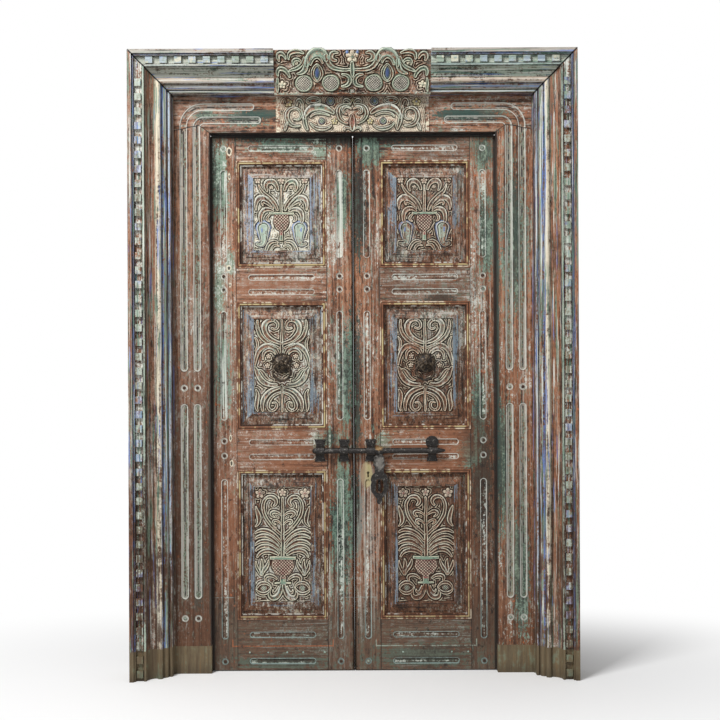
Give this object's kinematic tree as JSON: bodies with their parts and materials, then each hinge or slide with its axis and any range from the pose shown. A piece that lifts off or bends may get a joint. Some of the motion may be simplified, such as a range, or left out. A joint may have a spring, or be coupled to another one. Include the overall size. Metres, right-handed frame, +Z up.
{
  "type": "carved double temple door with frame",
  "caption": "Weathered carved double-leaf wooden temple door in a splayed, dentilled frame, with ring pulls and a sliding iron bolt with hasp.",
  "frame": {"origin": "middle of the bounding box at floor level, under the meeting line of the leaves", "axes": "+X to the right seen from the carved side, +Y into the room behind the door, +Z up; the carved side faces -Y"},
  "size_m": [1.495, 0.2055, 2.1073],
  "materials": {
    "architrave_wood": "weathered red-brown hardwood with worn blue, green and cream paint",
    "jamb_wood": "weathered red-brown hardwood with pale paint left in the flutes",
    "leaf_wood": "weathered red-brown hardwood with worn green paint",
    "repair_wood": "newer olive-brown wood, oiled",
    "panel_carving": "carved hardwood with worn cream, green, blue and red paint",
    "head_carving": "carved hardwood with worn grey-green, blue and cream paint",
    "bead_wood": "moulded hardwood with worn yellow and cream paint lines",
    "peg_wood": "dark end-grain pegs",
    "forged_iron": "black-brown forged iron, lightly rusted",
    "pull_iron": "dark bronzed iron, worn brighter on the ring"
  },
  "bodies": {
    "frame": {"architrave_left": "architrave_wood", "architrave_right": "architrave_wood", "architrave_head": "architrave_wood", "architrave_foot_left": "repair_wood", "architrave_foot_right": "repair_wood", "jamb_left": "jamb_wood", "jamb_right": "jamb_wood", "jamb_foot_left": "repair_wood", "jamb_foot_right": "repair_wood", "head_rail": "jamb_wood", "crest_block": "head_carving", "head_board": "head_carving", "jamb_pegs": "peg_wood", "left_hinge_frame_plates": "forged_iron", "right_hinge_frame_plates": "forged_iron", "left_hinge_pins": "forged_iron", "right_hinge_pins": "forged_iron"},
    "left_leaf": {"left_hanging_stile": "leaf_wood", "left_meeting_stile": "leaf_wood", "left_top_rail": "leaf_wood", "left_upper_rail": "leaf_wood", "left_lock_rail": "leaf_wood", "left_bottom_rail": "leaf_wood", "left_upper_panel": "panel_carving", "left_middle_panel": "panel_carving", "left_lower_panel": "panel_carving", "left_upper_beads": "bead_wood", "left_middle_beads": "bead_wood", "left_lower_beads": "bead_wood", "left_pegs": "peg_wood", "left_hinge_plates": "forged_iron", "left_bolt_guides": "forged_iron", "left_pull_rosette": "pull_iron"},
    "right_leaf": {"right_hanging_stile": "leaf_wood", "right_meeting_stile": "leaf_wood", "right_top_rail": "leaf_wood", "right_upper_rail": "leaf_wood", "right_lock_rail": "leaf_wood", "right_bottom_rail": "leaf_wood", "right_upper_panel": "panel_carving", "right_middle_panel": "panel_carving", "right_lower_panel": "panel_carving", "right_upper_beads": "bead_wood", "right_middle_beads": "bead_wood", "right_lower_beads": "bead_wood", "right_pegs": "peg_wood", "right_hinge_plates": "forged_iron", "right_bolt_guides": "forged_iron", "right_pull_rosette": "pull_iron", "bolt_staple": "forged_iron"},
    "bolt": {"bolt_bar": "forged_iron"},
    "hasp": {"hasp": "forged_iron"},
    "left_ring": {"left_pull_ring": "pull_iron"},
    "right_ring": {"right_pull_ring": "pull_iron"}
  },
  "joints": [
    {"name": "left_leaf_hinge", "type": "hinge", "parent": "frame", "child": "left_leaf", "pos_m": [-0.49825, 0.09475, 0.935], "axis": [0, 0, 1], "range_deg": [0, 105]},
    {"name": "right_leaf_hinge", "type": "hinge", "parent": "frame", "child": "right_leaf", "pos_m": [0.49825, 0.09475, 0.935], "axis": [0, 0, -1], "range_deg": [0, 105]},
    {"name": "bolt_slide", "type": "slide", "parent": "right_leaf", "child": "bolt", "axis": [1, 0, 0], "range_m": [0, 0.145]},
    {"name": "hasp_swing", "type": "hinge", "parent": "bolt", "child": "hasp", "pos_m": [0.0865, 0.02125, 0.756], "axis": [-1, 0, 0], "range_deg": [0, 170]},
    {"name": "left_ring_swing", "type": "hinge", "parent": "left_leaf", "child": "left_ring", "pos_m": [-0.246, 0.02425, 1.057], "axis": [-1, 0, 0], "range_deg": [0, 100]},
    {"name": "right_ring_swing", "type": "hinge", "parent": "right_leaf", "child": "right_ring", "pos_m": [0.246, 0.02425, 1.057], "axis": [-1, 0, 0], "range_deg": [0, 100]}
  ],
  "couplings": [
    {"joint": "hasp_swing", "follows": "bolt_slide", "rad_per_m": 20.46}
  ]
}
